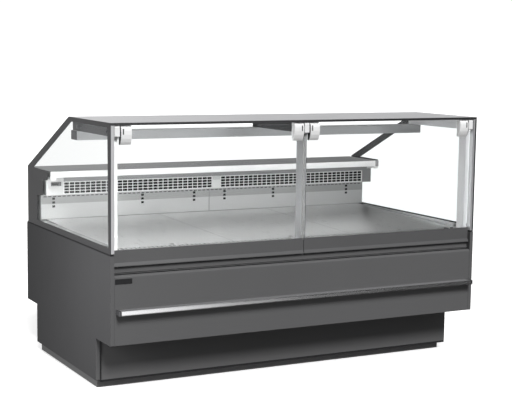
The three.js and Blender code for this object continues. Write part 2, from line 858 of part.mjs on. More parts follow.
addPart('evaporator_unit', evaporatorUnit(), 'galvanised');
fanX.forEach((x, index) => {
  const rotorY = fan.y - 19;
  addPart(`fan_rotor_${index + 1}`, fanRotor(x, rotorY, fan.z, fan.radius, fan.hub, 5), 'blackPlastic');
});
addPart('compressor', compressor(), 'blackPlastic');
addPart('condenser_unit', condenserUnit(), 'galvanised');
addPart(
  'condenser_fan_rotor',
  fanRotor(condenserFan.x, condenserFan.y, condenserFan.z, condenserFan.radius, condenserFan.hub, 5),
  'blackPlastic',
);
addPart('power_switch', switchRocker(), 'redPlastic');
addPart('cable_gland', cableGland(), 'blackPlastic');

export default deliCase;
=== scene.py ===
"""Looks for the refrigerated deli case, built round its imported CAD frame. Metres, +Z up."""

import math

import bmesh
import bpy
from mathutils import Matrix, Vector


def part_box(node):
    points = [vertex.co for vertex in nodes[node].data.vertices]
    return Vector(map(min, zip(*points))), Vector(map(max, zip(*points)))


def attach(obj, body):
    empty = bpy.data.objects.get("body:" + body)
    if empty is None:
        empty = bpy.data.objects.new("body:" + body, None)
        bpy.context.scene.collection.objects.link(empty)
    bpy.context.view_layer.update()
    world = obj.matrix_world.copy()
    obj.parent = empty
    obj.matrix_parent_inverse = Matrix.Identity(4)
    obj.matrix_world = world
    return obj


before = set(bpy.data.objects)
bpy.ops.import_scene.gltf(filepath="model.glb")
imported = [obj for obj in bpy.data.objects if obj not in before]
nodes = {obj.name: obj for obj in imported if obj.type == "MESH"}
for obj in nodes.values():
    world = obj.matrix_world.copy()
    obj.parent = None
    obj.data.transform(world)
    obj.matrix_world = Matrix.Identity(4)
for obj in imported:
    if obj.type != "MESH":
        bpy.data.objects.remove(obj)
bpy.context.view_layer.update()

MM = 0.001
X, Y, Z = 0, 1, 2
SKIN = 0.1 * MM    # gap between a CAD face and a thin piece that lies on it
CLEAR = 0.2 * MM   # clearance round a piece that is let into a gap
SIDES = {"left": -1, "right": 1}


# ------------------------------------------------------------------ camera, floor and light

def make_camera():
    """A long lens at the photograph's angle: well to the customer's left, and above the roof."""
    position = Vector((-3.0232, -5.8123, 1.5861))
    yaw, pitch, roll = -0.483, -0.124, 0.013
    forward = Vector((-math.sin(yaw) * math.cos(pitch), math.cos(yaw) * math.cos(pitch), math.sin(pitch)))
    right = Vector((math.cos(yaw), math.sin(yaw), 0.0))
    up = right.cross(forward)
    rolled_right = right * math.cos(roll) + up * math.sin(roll)
    rolled_up = up * math.cos(roll) - right * math.sin(roll)
    turn = Matrix((rolled_right, rolled_up, -forward)).transposed()
    data = bpy.data.cameras.new("camera")
    data.lens = 88.34
    data.shift_x = 0.0034
    data.shift_y = 0.0043
    data.clip_end = 60.0
    camera = bpy.data.objects.new("camera", data)
    camera.matrix_world = Matrix.Translation(position) @ turn.to_4x4()
    bpy.context.collection.objects.link(camera)
    bpy.context.scene.camera = camera


def make_sky():
    """White behind the object, weak light all round it, and bright left to dark right in gloss."""
    backdrop = 1.08
    below, above = 0.08, 0.30
    gloss_left, gloss_right = 1.6, 0.06
    gloss_ahead, gloss_behind = 1.0, 0.26
    world = bpy.data.worlds.new("studio")
    world.use_nodes = True
    world.cycles.sampling_method = "NONE"
    tree = world.node_tree
    background = tree.nodes["Background"]
    background.inputs["Color"].default_value = (1.0, 1.0, 1.0, 1.0)

    def spread(source, start, end, low, high, shape="LINEAR"):
        """The source's range start..end laid out over low..high."""
        made = tree.nodes.new("ShaderNodeMapRange")
        made.interpolation_type = shape
        for socket, value in (("From Min", start), ("From Max", end), ("To Min", low), ("To Max", high)):
            made.inputs[socket].default_value = value
        tree.links.new(source, made.inputs["Value"])
        return made.outputs["Result"]

    def combine(operation, first, second):
        """One calculation with two sources."""
        made = tree.nodes.new("ShaderNodeMath")
        made.operation = operation
        tree.links.new(first, made.inputs[0])
        tree.links.new(second, made.inputs[1])
        return made.outputs["Value"]

    def after_bounce(depth, bounced):
        """The bounced strength for rays that have bounced this way; input A is left for the others."""
        made = tree.nodes.new("ShaderNodeMix")
        tree.links.new(depth, made.inputs["Factor"])
        tree.links.new(bounced, made.inputs["B"])
        return made

    place = tree.nodes.new("ShaderNodeTexCoord")
    direction = tree.nodes.new("ShaderNodeSeparateXYZ")
    tree.links.new(place.outputs["Generated"], direction.inputs["Vector"])
    path = tree.nodes.new("ShaderNodeLightPath")

    # The bright part reaches further to the right just under the horizon, where the back wall looks.
    level_from_below = spread(direction.outputs["Z"], -0.2, -0.114, 0.0, 0.10)
    level_from_above = spread(direction.outputs["Z"], -0.05, 0.0, 1.0, 0.0)
    reach = combine("MULTIPLY", level_from_below, level_from_above)
    sideways = combine("SUBTRACT", direction.outputs["X"], reach)
    across = spread(sideways, 0.345, 0.455, gloss_left, gloss_right, "SMOOTHSTEP")
    along = spread(direction.outputs["Y"], -0.2, 0.5, gloss_ahead, gloss_behind)
    gloss = combine("MULTIPLY", across, along)

    soft = spread(direction.outputs["Z"], -0.15, 0.5, below, above)
    lit = after_bounce(path.outputs["Diffuse Depth"], soft)
    lit.inputs["A"].default_value = backdrop
    shone = after_bounce(path.outputs["Glossy Depth"], gloss)
    tree.links.new(lit.outputs["Result"], shone.inputs["A"])
    tree.links.new(shone.outputs["Result"], background.inputs["Strength"])
    bpy.context.scene.world = world
    bpy.context.scene.view_settings.view_transform = "Standard"


def make_floor():
    """Wide pale floor. Only the camera sees it directly: bounced light comes from the sky alone."""
    reach = 40.0
    drop = 0.5 * MM
    mesh = bpy.data.meshes.new("floor")
    corners = [(-reach, -reach, 0), (reach, -reach, 0), (reach, reach, 0), (-reach, reach, 0)]
    mesh.from_pydata(corners, [], [(0, 1, 2, 3)])
    floor = bpy.data.objects.new("floor", mesh)
    floor.location.z = -drop
    bpy.context.collection.objects.link(floor)
    material = bpy.data.materials.new("floor_white")
    material.use_nodes = True
    shader = material.node_tree.nodes["Principled BSDF"]
    shader.inputs["Base Color"].default_value = (0.9, 0.9, 0.9, 1.0)
    shader.inputs["Roughness"].default_value = 0.9
    shader.inputs["Specular IOR Level"].default_value = 0.1
    shader.inputs["Emission Color"].default_value = (1.0, 1.0, 1.0, 1.0)
    shader.inputs["Emission Strength"].default_value = 0.4
    mesh.materials.append(material)
    floor.visible_diffuse = False
    floor.visible_glossy = False
    floor.visible_transmission = False


def make_sun(name, azimuth, elevation, softness, energy):
    """Distant soft light. Angles in degrees: azimuth 0 is straight in front, and positive is +X."""
    data = bpy.data.lights.new(name, "SUN")
    data.energy = energy
    data.angle = math.radians(softness)
    light = bpy.data.objects.new(name, data)
    turn = math.radians(azimuth)
    lift = math.radians(elevation)
    source = Vector((math.sin(turn) * math.cos(lift), -math.cos(turn) * math.cos(lift), math.sin(lift)))
    light.rotation_euler = (-source).to_track_quat("-Z", "Y").to_euler()
    bpy.context.collection.objects.link(light)


def make_softbox(name, place, aim, size, power):
    """Square lamp at a place, turned to face its aim."""
    data = bpy.data.lights.new(name, "AREA")
    data.energy = power
    data.size = size
    light = bpy.data.objects.new(name, data)
    light.location = place
    light.rotation_euler = (Vector(aim) - Vector(place)).to_track_quat("-Z", "Y").to_euler()
    bpy.context.collection.objects.link(light)


def make_stage():
    """Pale floor and plain soft studio light."""
    make_sky()
    make_floor()
    make_sun("key", azimuth=-10, elevation=44, softness=20, energy=3.4)
    make_softbox("left_fill", place=(-2.05, -0.60, 0.70), aim=(-1.0, -0.50, 0.45), size=0.7, power=16)
    make_sun("back_fill", azimuth=165, elevation=50, softness=60, energy=0.8)


# ------------------------------------------------------------------ materials

class Surface:
    """A node-based material with one principled shader. Helpers that change it return it."""

    def __init__(self, name, colour, roughness, metallic=0.0):
        self.material = bpy.data.materials.new(name)
        self.material.use_nodes = True
        self.tree = self.material.node_tree
        self.shader = self.tree.nodes["Principled BSDF"]
        self.colour = colour
        self.roughness = roughness
        self.set("Base Color", (*colour, 1.0))
        self.set("Roughness", roughness)
        self.set("Metallic", metallic)

    def set(self, socket, value):
        """Sets one input of the shader."""
        self.shader.inputs[socket].default_value = value
        return self

    def node(self, kind, **inputs):
        """A new node with these inputs set."""
        made = self.tree.nodes.new(kind)
        for socket, value in inputs.items():
            made.inputs[socket].default_value = value
        return made

    def link(self, source, target):
        self.tree.links.new(source, target)

    def coordinates(self, stretch=(1.0, 1.0, 1.0)):
        """Object coordinates in metres, scaled along each axis."""
        place = self.tree.nodes.new("ShaderNodeTexCoord")
        mapping = self.tree.nodes.new("ShaderNodeMapping")
        mapping.inputs["Scale"].default_value = stretch
        self.link(place.outputs["Object"], mapping.inputs["Vector"])
        return mapping.outputs["Vector"]

    def noise(self, scale, stretch=(1.0, 1.0, 1.0), detail=4.0):
        """Noise over the object's own coordinates."""
        made = self.node("ShaderNodeTexNoise", Scale=scale, Detail=detail)
        self.link(self.coordinates(stretch), made.inputs["Vector"])
        return made.outputs["Fac"]

    def ramp(self, value, low, high):
        """A noise value, which hardly ever leaves 0.3 to 0.7, laid out over low to high."""
        made = self.tree.nodes.new("ShaderNodeMapRange")
        for socket, setting in (("From Min", 0.3), ("From Max", 0.7), ("To Min", low), ("To Max", high)):
            made.inputs[socket].default_value = setting
        self.link(value, made.inputs["Value"])
        return made.outputs["Result"]

    def vary_colour(self, scale, amount, stretch=(1.0, 1.0, 1.0)):
        """Slow patches a little darker and lighter than the colour."""
        mix = self.tree.nodes.new("ShaderNodeMix")
        mix.data_type = "RGBA"
        mix.inputs["A"].default_value = (*[c * (1 - amount) for c in self.colour], 1.0)
        mix.inputs["B"].default_value = (*[min(1.0, c * (1 + amount)) for c in self.colour], 1.0)
        self.link(self.ramp(self.noise(scale, stretch), 0.0, 1.0), mix.inputs["Factor"])
        self.link(mix.outputs["Result"], self.shader.inputs["Base Color"])
        return self

    def vary_roughness(self, scale, amount, stretch=(1.0, 1.0, 1.0)):
        """Smears a little duller and shinier than the roughness."""
        smoothest = 0.02
        low = max(smoothest, self.roughness - amount)
        spread = self.ramp(self.noise(scale, stretch), low, self.roughness + amount)
        self.link(spread, self.shader.inputs["Roughness"])
        return self

    def shaded_behind(self, place, colour):
        """Everything behind this Y gets this colour and isn't metallic: painted shade, as used on the
        roof arms.
        """
        position = self.tree.nodes.new("ShaderNodeSeparateXYZ")
        self.link(self.coordinates(), position.inputs["Vector"])
        # painted is 1 where the dark colour goes: painted shade.
        painted = self.tree.nodes.new("ShaderNodeMath")
        painted.operation = "GREATER_THAN"
        painted.inputs[1].default_value = place
        self.link(position.outputs["Y"], painted.inputs[0])
        bare = self.tree.nodes.new("ShaderNodeMath")
        bare.operation = "SUBTRACT"
        bare.inputs[0].default_value = 1.0
        self.link(painted.outputs["Value"], bare.inputs[1])
        self.link(bare.outputs["Value"], self.shader.inputs["Metallic"])
        mix = self.tree.nodes.new("ShaderNodeMix")
        mix.data_type = "RGBA"
        mix.inputs["B"].default_value = (*colour, 1.0)
        self.link(painted.outputs["Value"], mix.inputs["Factor"])
        self.link(self.shader.inputs["Base Color"].links[0].from_socket, mix.inputs["A"])
        self.link(mix.outputs["Result"], self.shader.inputs["Base Color"])
        return self

    def bump(self, scale, depth, stretch=(1.0, 1.0, 1.0)):
        """Fine relief, with its depth in metres."""
        made = self.node("ShaderNodeBump", Strength=0.6, Distance=depth)
        self.link(self.noise(scale, stretch, detail=3.0), made.inputs["Height"])
        self.link(made.outputs["Normal"], self.shader.inputs["Normal"])
        return self


def paint(name, colour, roughness, specular=0.5):
    """Powder coat: fine orange peel, slow patches and smears."""
    surface = Surface(name, colour, roughness)
    surface.set("Specular IOR Level", specular)
    surface.vary_colour(2.2, 0.02)
    surface.vary_roughness(6.0, 0.03)
    return surface.bump(900.0, 0.06 * MM)


def brushed(name, colour, roughness, along, metallic=1.0):
    """Metal with a grain that runs along one axis."""
    grain = 0.012
    stretch = [1.0, 1.0, 1.0]
    stretch[along] = grain
    surface = Surface(name, colour, roughness, metallic)
    surface.vary_colour(300.0, 0.015, stretch)
    surface.vary_roughness(420.0, 0.03, stretch)
    return surface.bump(700.0, 0.02 * MM, stretch)


def moulded(name, colour, roughness, specular=0.5):
    """Moulded plastic with a fine spark-eroded grain."""
    surface = Surface(name, colour, roughness)
    surface.set("Specular IOR Level", specular)
    surface.vary_colour(5.0, 0.03)
    surface.vary_roughness(30.0, 0.05)
    return surface.bump(1600.0, 0.04 * MM)


def rubber(name):
    """Black sealing rubber, dull and faintly mottled. Several pieces also use its black as painted shade
    in gaps and holes.
    """
    surface = Surface(name, (0.010, 0.010, 0.011), 0.75)
    surface.set("Specular IOR Level", 0.25)
    surface.vary_colour(40.0, 0.12)
    return surface.bump(1200.0, 0.05 * MM)


def opal_lamp(name):
    """Opal cover lit from behind."""
    surface = moulded(name, (0.86, 0.86, 0.84), 0.5)
    surface.set("Emission Color", (1.0, 0.985, 0.96, 1.0))
    return surface.set("Emission Strength", 2.6)


def clear_glass(name):
    """Clear glass with a low index, which keeps the panes as free of reflections as in a studio."""
    surface = Surface(name, (0.985, 1.0, 0.998), 0.0)
    surface.set("Transmission Weight", 1.0)
    return surface.set("IOR", 1.16)


# Behind this Y the left and middle uprights are roof arms, which get a dark colour: painted shade, for
# the shade under the canopy.
POST_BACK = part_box("post_left")[0][Y] + 60 * MM

SURFACES = {
    "panel": paint("panel_paint", (0.108, 0.108, 0.110), 0.45, specular=0.12),
    # A darker copy of the panel paint on the end panels: painted shade, as they face away from the light.
    "side_panel": paint("side_panel_shaded_paint", (0.064, 0.064, 0.066), 0.5, specular=0.03),
    "grip": paint("grip_paint", (0.077, 0.077, 0.079), 0.38, specular=0.5),
    # A lighter copy of the panel paint on the kick plates: painted light, for light bounced up off the
    # floor.
    "plinth": paint("plinth_lit_paint", (0.135, 0.135, 0.137), 0.45, specular=0.12),
    # The base rail's paint is kept light though the kick plate shades it: painted light, for light
    # bounced up off the floor.
    "base": paint("base_lit_paint", (0.110, 0.110, 0.112), 0.45),
    "cap": moulded("cap_plastic", (0.022, 0.022, 0.024), 0.5),
    "bumper": brushed("bumper_metal", (0.70, 0.70, 0.71), 0.16, X),
    "badge": moulded("badge_plastic", (0.010, 0.010, 0.011), 0.3, specular=0.2),
    "tub": paint("tub_coating", (0.24, 0.245, 0.245), 0.4),
    "deck": brushed("deck_steel", (0.72, 0.72, 0.72), 0.30, Y),
    "wall": brushed("wall_steel", (0.66, 0.66, 0.66), 0.34, X, metallic=0.8),
    # A darker copy of the wall steel: painted shadow along the top of the back wall, under the duct.
    "painted_shadow_wall": brushed("painted_shadow_wall_steel", (0.44, 0.44, 0.44), 0.34, X, metallic=0.8),
    "housing": paint("housing_coating", (0.76, 0.76, 0.76), 0.4),
    "duct": paint("duct_coating", (0.62, 0.62, 0.62), 0.45),
    "lattice": moulded("lattice_plastic", (0.84, 0.85, 0.85), 0.45),
    "display": moulded("display_plastic", (0.10, 0.10, 0.105), 0.3),
    "screen": moulded("screen_plastic", (0.012, 0.012, 0.014), 0.12),
    "worktop": paint("worktop_coating", (0.125, 0.125, 0.127), 0.35, specular=0.3),
    # Grey for end caps, keys and joints, and also for painted shade: the trim under the nosing and the
    # right glazing bead.
    "end_grey": moulded("end_cap_and_shade_plastic", (0.30, 0.30, 0.305), 0.45),
    "post": brushed("post_metal", (0.76, 0.76, 0.77), 0.40, Z),
    # The left and middle posts are a darker copy of the right post's metal, and their arms darker still:
    # painted shade.
    "dark_armed_post": brushed("post_metal_shaded_arm", (0.42, 0.42, 0.43), 0.40, Z)
                       .shaded_behind(POST_BACK, (0.038, 0.038, 0.040)).set("Specular IOR Level", 0.15),
    # Grey copy of the white post seal, for the middle post: painted shade.
    "post_seal": moulded("middle_seal_shaded_plastic", (0.17, 0.17, 0.17), 0.45),
    "corner": brushed("corner_metal", (0.46, 0.46, 0.47), 0.34, Z),
    "beam": brushed("beam_metal", (0.48, 0.48, 0.49), 0.42, X),
    "diffuser": opal_lamp("diffuser_opal"),
    "canopy": paint("canopy_coating", (0.44, 0.44, 0.45), 0.40),
    "glass": clear_glass("clear_glass"),
    "border": paint("border_enamel", (0.030, 0.030, 0.032), 0.25, specular=0.35),
    "bolt": brushed("bolt_steel", (0.16, 0.16, 0.17), 0.35, X),
    "hinge": moulded("hinge_plastic", (0.88, 0.88, 0.88), 0.34),
    # Near black used only as painted shade: clamp ends, hinge slots, the gap under the channel and the
    # slots along the wall top.
    "painted_shade_dark": moulded("painted_shade_plastic", (0.030, 0.030, 0.032), 0.4),
    "zinc": brushed("zinc_sheet", (0.50, 0.52, 0.53), 0.42, X),
    "black": moulded("black_plastic", (0.02, 0.02, 0.022), 0.45),
    "rubber": rubber("rubber_and_shade_black"),
    "enamel": paint("compressor_enamel", (0.012, 0.012, 0.012), 0.3),
    "switch": moulded("switch_red", (0.34, 0.03, 0.025), 0.3),
}

FINISH = {
    "panel": ["main_front_panel", "rear_panel", "front_channel"],
    "side_panel": ["end_panel_left", "end_panel_right"],
    "grip": ["door_grip_left", "door_grip_right"],
    "plinth": ["plinth_front", "plinth_rear"],
    "base": ["base_frame"],
    "cap": ["bumper_cap_left", "bumper_cap_right"],
    "bumper": ["bumper_rail"],
    "tub": ["tub_floor", "tub_front_wall", "tub_rear_wall", "tub_cheek_left", "tub_cheek_right"],
    "deck": ["deck_plate_left", "deck_plate_middle", "deck_plate_right", "return_air_grille"],
    "wall": ["back_wall_left", "back_wall_right"],
    "housing": ["worktop_strip"],
    "duct": ["grille_housing", "duct_floor"],
    "lattice": ["air_grille_left", "air_grille_right"],
    "worktop": ["worktop"],
    "post": ["post_right"],
    "dark_armed_post": ["post_left", "post_middle"],
    "beam": ["lamp_housing"],
    "canopy": ["canopy"],
    "glass": ["side_glass_left", "side_glass_right", "front_glass_left", "front_glass_right"],
    "border": ["side_frame_left", "side_frame_right"],
    "bolt": [f"side_bolt_{place}_{side}" for place in ("front", "rear") for side in ("left", "right")],
    "hinge": [f"hinge_clamp_{number}" for number in (1, 2, 3, 4)]
             + [f"hinge_cover_{side}" for side in ("left", "middle", "right")],
    "zinc": ["evaporator_unit", "condenser_unit"],
    "black": ["fan_rotor_1", "fan_rotor_2", "condenser_fan_rotor", "cable_gland"],
    "enamel": ["compressor"],
    "switch": ["power_switch"],
}

# Edge radius of each finish, in millimetres; the rest keep the sharp edges of folded sheet.
EDGE = {
    "panel": 1.2, "side_panel": 1.2, "grip": 1.0, "plinth": 0.8, "base": 1.0, "cap": 2.0, "bumper": 2.2,
    "worktop": 2.5, "post": 1.8, "dark_armed_post": 1.8, "beam": 1.5, "canopy": 2.0, "border": 0.6,
    "hinge": 2.5, "housing": 0.8, "duct": 0.8, "switch": 0.8, "enamel": 3.0, "glass": 0.6,
}


def round_edges(item, radius):
    """Rounds the sharp edges of a piece, and leaves the facets of its curves alone."""
    bevel = item.modifiers.new("soft_edges", "BEVEL")
    bevel.width = radius
    bevel.segments = 2
    bevel.limit_method = "ANGLE"
    bevel.angle_limit = math.radians(35)
    bevel.use_clamp_overlap = True


def soften(item, radius):
    """Rounds the real edges of a CAD node: flat triangles are merged first so only creases are left."""
    merge = item.modifiers.new("merge_flats", "DECIMATE")
    merge.decimate_type = "DISSOLVE"
    merge.angle_limit = math.radians(1)
    round_edges(item, radius)


def finish_cad_nodes():
    """Gives every CAD node its material and its edge radius."""
    for finish, names in FINISH.items():
        for name in names:
            item = nodes[name]
            item.data.materials.clear()
            item.data.materials.append(SURFACES[finish].material)
            if finish in EDGE:
                soften(item, EDGE[finish] * MM)
            if finish == "glass":
                item.visible_shadow = False
    # Keeps the polished top of the rail from throwing a pale band on the panel above it.
    nodes["bumper_rail"].visible_diffuse = False


# ------------------------------------------------------------------ building pieces

class Piece:
    """A mesh built up in the row frame from prisms and blocks."""

    def __init__(self, name):
        self.name = name
        self.mesh = bmesh.new()

    def prism(self, outline, axis, start, end):
        """An outline drawn in the other two axes, in their order, and run along this one."""
        def corner(point, place):
            spot = list(point)
            spot.insert(axis, place)
            return self.mesh.verts.new(spot)

        near = [corner(point, start) for point in outline]
        far = [corner(point, end) for point in outline]
        self.mesh.faces.new(near)
        self.mesh.faces.new(list(reversed(far)))
        for index in range(len(outline)):
            after = (index + 1) % len(outline)
            self.mesh.faces.new([near[index], far[index], far[after], near[after]])

    def block(self, low, high):
        """A box between two opposite corners."""
        corners = [(low[X], low[Y]), (high[X], low[Y]), (high[X], high[Y]), (low[X], high[Y])]
        self.prism(corners, Z, low[Z], high[Z])

    def disc(self, centre, radius, axis, depth, sides=20):
        """A short rod: centre is the middle of its near face, and depth runs along the axis."""
        across = [centre[index] for index in (X, Y, Z) if index != axis]
        outline = []
        for step in range(sides):
            angle = 2 * math.pi * step / sides
            outline.append((across[0] + radius * math.cos(angle), across[1] + radius * math.sin(angle)))
        self.prism(outline, axis, centre[axis], centre[axis] + depth)

    def done(self, finish, body="case", edge=0.0):
        """Turns the mesh into an object with its finish, edge radius, body and slot."""
        bmesh.ops.recalc_face_normals(self.mesh, faces=self.mesh.faces)
        data = bpy.data.meshes.new(self.name)
        self.mesh.to_mesh(data)
        self.mesh.free()
        data.materials.append(SURFACES[finish].material)
        item = bpy.data.objects.new(self.name, data)
        bpy.context.collection.objects.link(item)
        if edge:
            round_edges(item, edge)
        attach(item, body)


def mirrored(sign, low, high):
    """The X range low..high for the +X side, or its mirror image for the -X side."""
    return (low, high) if sign > 0 else (-high, -low)


# ------------------------------------------------------------------ corners and canopy

def corner_profiles():
    """Silver angle over the front corner of each glazed end: a face, a step and a return leg."""
    rims = {"left": 5 * MM, "right": 9 * MM}
    leg = 20.9 * MM
    sheet = 0.3 * MM
    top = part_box("canopy")[0][Z] - 0.6 * MM
    for side, sign in SIDES.items():
        low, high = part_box(f"side_frame_{side}")
        outer = high[X] if sign > 0 else -low[X]
        rim = rims[side]
        front = low[Y]
        outline = [
            (outer - rim, front - SKIN),
            (outer - rim, front - 1.3 * MM),
            (outer - 15 * MM, front - 1.3 * MM),
            (outer - 16 * MM, front - 0.6 * MM),
            (outer - leg, front - 0.6 * MM),
            (outer - leg, front + 24.5 * MM),
            (outer - leg + sheet, front + 24.5 * MM),
            (outer - leg + sheet, front - SKIN),
        ]
        piece = Piece(f"corner_profile_{side}")
        piece.prism([(sign * x, y) for x, y in outline], Z, low[Z] + 1 * MM, top)
        piece.done("corner")


def canopy_edges():
    """Dark edge bands along the front and the back of the canopy."""
    low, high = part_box("canopy")
    bulge = 0.9 * MM
    overhang = 1.5 * MM
    for name, face, way in (("front", low[Y], -1), ("rear", high[Y], 1)):
        near = face + way * 0.15 * MM
        far = face + way * bulge
        outline = [
            (near, low[Z] + 0.3 * MM),
            (far, low[Z] + 1.5 * MM),
            (far, high[Z] - 1.8 * MM),
            (near, high[Z] - 0.4 * MM),
        ]
        piece = Piece(f"canopy_edge_{name}")
        piece.prism(outline, X, low[X] - overhang, high[X] + overhang)
        piece.done("border")


# ------------------------------------------------------------------ hinges

# The upright and the door that each clamp belongs to.
HINGES = {
    1: ("left", "door_left"),
    2: ("middle", "door_left"),
    3: ("middle", "door_right"),
    4: ("right", "door_right"),
}


def hinges():
    """Each clamp's number, door, box, the middle of its upright, and its side of it, as a sign."""
    for number, (place, door) in HINGES.items():
        low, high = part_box(f"hinge_clamp_{number}")
        cover_low, cover_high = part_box(f"hinge_cover_{place}")
        middle = (cover_low[X] + cover_high[X]) / 2
        side = 1 if low[X] + high[X] > 2 * middle else -1
        yield number, door, low, high, middle, side


def shade_on_hinge_ends():
    """Dark plate on the end of each clamp that faces its post, following the curve of the clamp: painted
    shade, for the shadow in the narrow space between clamp and post.
    """
    for number, door, low, high, middle, side in hinges():
        inner = middle + side * 18 * MM
        front = low[Y] - CLEAR
        crescent = [
            (front + 1.5 * MM, high[Z] - 11 * MM),
            (front, high[Z] - 23 * MM),
            (front, high[Z] - 40 * MM),
            (front + 3 * MM, high[Z] - 58 * MM),
            (front + 9 * MM, high[Z] - 75 * MM),
            (front + 16.5 * MM, high[Z] - 86 * MM),
            (front + 24 * MM, high[Z] - 86 * MM),
            (front + 24 * MM, high[Z] - 1 * MM),
            (front + 9 * MM, high[Z] - 3 * MM),
        ]
        piece = Piece(f"hinge_end_{number}")
        piece.prism(crescent, X, inner - side * 2.6 * MM, inner - side * CLEAR)
        piece.done("painted_shade_dark", door, edge=0.6 * MM)


def hinge_slots():
    """Dark block let into the top of each clamp: painted shade, standing in for the shaded adjusting
    slot.
    """
    half_width = 3 * MM
    proud, deep = 0.3 * MM, 2 * MM
    for number, door, low, high, middle, side in hinges():
        centre = middle + side * 28 * MM
        piece = Piece(f"hinge_slot_{number}")
        piece.block(
            (centre - half_width, low[Y] - proud, high[Z] - 40 * MM),
            (centre + half_width, low[Y] + deep, high[Z] - 14 * MM),
        )
        piece.done("painted_shade_dark", door, edge=0.2 * MM)


# ------------------------------------------------------------------ seals and air path

def long_bulb(name, finish, middle, back, front, low_x, high_x):
    """A half-round seal along X: flat at its back, bulging forwards to its front."""
    half_height = 9 * MM
    foot = 1 * MM
    steps = 6
    outline = [(back, middle - half_height), (back, middle + half_height)]
    for step in range(steps + 1):
        angle = math.pi / 2 - math.pi * step / steps
        outline.append((
            back - foot - (back - foot - front) * math.cos(angle),
            middle + half_height * math.sin(angle),
        ))
    piece = Piece(name)
    piece.prism(outline, X, low_x, high_x)
    piece.done(finish)


def front_gap_seals_and_shade():
    """Seals behind the two long gaps under the doors, black and near black to paint in the shade of these
    gaps.
    """
    channel_low, channel_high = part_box("front_channel")
    grip_low, grip_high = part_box("door_grip_left")
    panel_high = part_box("main_front_panel")[1]
    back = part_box("tub_front_wall")[0][Y] - CLEAR
    upper = (channel_high[Z] + grip_low[Z]) / 2
    lower = (panel_high[Z] + channel_low[Z]) / 2
    ends = channel_low[X], channel_high[X]
    long_bulb("seal_and_shade_under_doors", "rubber", upper, back, grip_high[Y] + 0.7 * MM, *ends)
    long_bulb("seal_and_shade_under_channel", "painted_shade_dark", lower, back, channel_high[Y] + 0.6 * MM, *ends)


def kick_plate_shadow_lip_and_seal():
    """Black wiper lip under the kick plate, which paints in the shadow line under it, and an upright seal
    at its left end.
    """
    low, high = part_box("plinth_front")
    top = low[Z] + 0.6 * MM
    lip = [
        (low[Y] + 0.4 * MM, top),
        (low[Y] + 0.1 * MM, low[Z] - 6 * MM),
        (low[Y] + 1.6 * MM, low[Z] - 10 * MM),
        (low[Y] + 2.6 * MM, top),
    ]
    piece = Piece("kick_plate_shadow_lip")
    piece.prism(lip, X, low[X] + 1 * MM, high[X] - 1 * MM)
    piece.done("rubber")
    piece = Piece("kick_plate_end_seal")
    piece.block(
        (low[X] + CLEAR, low[Y] - 2.2 * MM, low[Z] - 4 * MM),
        (low[X] + 7 * MM, low[Y] - CLEAR, high[Z] - 1 * MM),
    )
    piece.done("rubber", edge=0.5 * MM)


def pleated(piece, axis, low, high, run_axis, pitch):
    """A folded sheet that fills a box: it zigzags along one axis and runs along another."""
    fold_axis = 3 - axis - run_axis
    span = high[axis] - low[axis]
    deep = high[fold_axis] - low[fold_axis]
    count = int(span / pitch)
    near = []
    far = []
    for step in range(2 * count + 1):
        place = low[axis] + span * step / (2 * count)
        fold = low[fold_axis] + (0.0 if step % 2 else 0.6 * deep)
        near.append((place, fold))
        far.append((place, fold + 0.4 * deep))
    piece.prism(near + far[::-1], run_axis, low[run_axis], high[run_axis])


def dark_filters_for_shade():
    """Black pleated filters: upright behind each lattice, and flat under the slotted strip in front.
    Their black paints in the shade inside the duct behind the openings.
    """
    for side in SIDES:
        low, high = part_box(f"air_grille_{side}")
        piece = Piece(f"air_filter_{side}")
        start = (low[X], high[Y] + 1 * MM, low[Z] + 0.5 * MM)
        end = (high[X], high[Y] + 7 * MM, high[Z] - 0.5 * MM)
        pleated(piece, X, start, end, Z, pitch=14 * MM)
        piece.done("rubber")
    low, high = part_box("return_air_grille")
    inset = 32 * MM
    piece = Piece("air_filter_front")
    start = (low[X] + inset, high[Y] - 54 * MM, low[Z] - 4.6 * MM)
    end = (high[X] - inset, high[Y] - 3 * MM, low[Z] - 0.6 * MM)
    pleated(piece, X, start, end, Y, pitch=22 * MM)
    piece.done("rubber")


def wall_slot_bridges():
    """Small bridges across the long slot above the back wall, which turn it into a row of openings."""
    low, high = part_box("back_wall_left")
    housing_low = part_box("grille_housing")[0]
    right_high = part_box("back_wall_right")[1]
    bridge, pitch = 5 * MM, 15 * MM
    margin = 2 * MM
    inset = 0.4 * MM
    count = int((right_high[X] - low[X]) / pitch)
    piece = Piece("wall_slot_bridges")
    for step in range(count + 1):
        x = low[X] + margin + pitch * step
        piece.block(
            (x, low[Y] + inset, high[Z] + SKIN),
            (x + bridge, high[Y] - inset, housing_low[Z] - SKIN),
        )
    piece.done("wall")


def wall_shadow_strip():
    """Darker strip along the top of the back wall, painted shadow for the shade the duct throws there,
    with a row of small dark blocks just under the duct that paint in the shaded openings of the air
    slots.
    """
    low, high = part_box("back_wall_left")
    right_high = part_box("back_wall_right")[1]
    strip_face = low[Y] - 0.3 * MM
    strip_bottom = high[Z] - 48 * MM
    piece = Piece("wall_shadow_strip")
    piece.block(
        (low[X] + 1 * MM, strip_face, strip_bottom),
        (right_high[X] - 1 * MM, low[Y] - SKIN, high[Z] - 0.5 * MM),
    )
    piece.done("painted_shadow_wall")

    # Dark blocks for the air slots: painted shade.
    slot, pitch = 17 * MM, 26 * MM
    slot_top = high[Z] - 7 * MM
    slot_bottom = slot_top - 4.5 * MM
    margin = 12 * MM
    count = int((right_high[X] - low[X] - margin) / pitch)
    piece = Piece("wall_slot_shade")
    for step in range(count):
        start = low[X] + margin + pitch * step
        piece.block((start, strip_face - CLEAR, slot_bottom), (start + slot, strip_face, slot_top))
    piece.done("painted_shade_dark")


